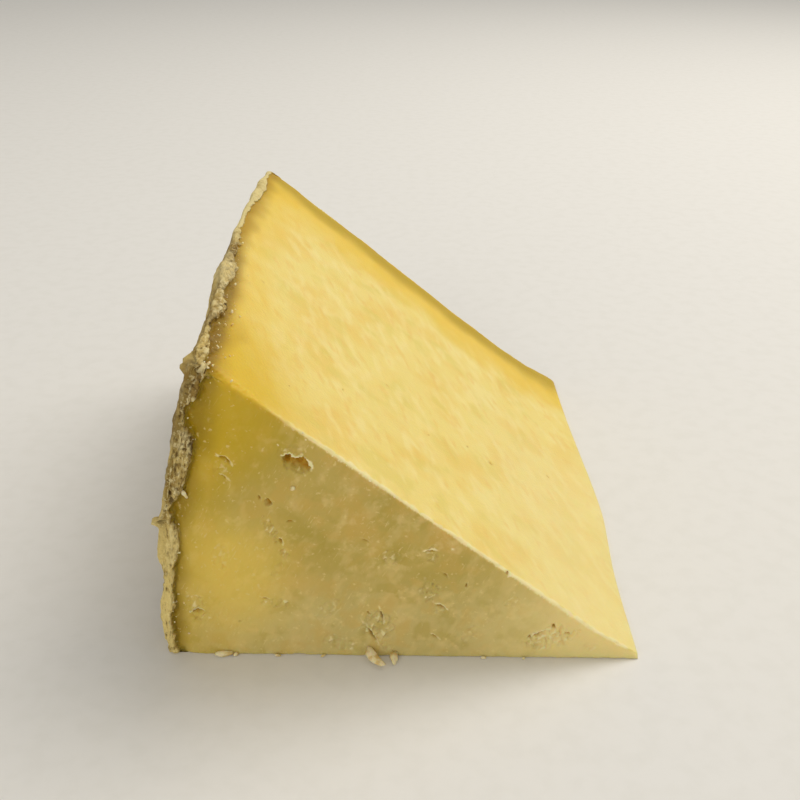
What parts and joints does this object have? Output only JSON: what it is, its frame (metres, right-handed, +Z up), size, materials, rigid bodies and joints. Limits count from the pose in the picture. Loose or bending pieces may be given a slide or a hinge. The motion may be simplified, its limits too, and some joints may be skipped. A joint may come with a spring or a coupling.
{
  "type": "wensleydale cheese wedge",
  "caption": "Wedge of pale yellow crumbly cheese lying on one cut, with a rough natural rind at its side and end and a broken, cracked front.",
  "frame": {"origin": "middle of the bounding box of the wedge, at the level of the cut face it rests on", "axes": "+Z up from the resting cut, +Y along the thin edge from the broken end to the flat rind end, +X from the curved rind to the thin edge"},
  "size_m": [0.1034, 0.1326, 0.0702],
  "materials": {
    "paste": "moist crumbly cheese paste, softly mottled",
    "rind": "dry cloth-aged natural rind, rough and flaky"
  },
  "bodies": {
    "root": {"cheese_wedge": "paste"}
  },
  "joints": []
}
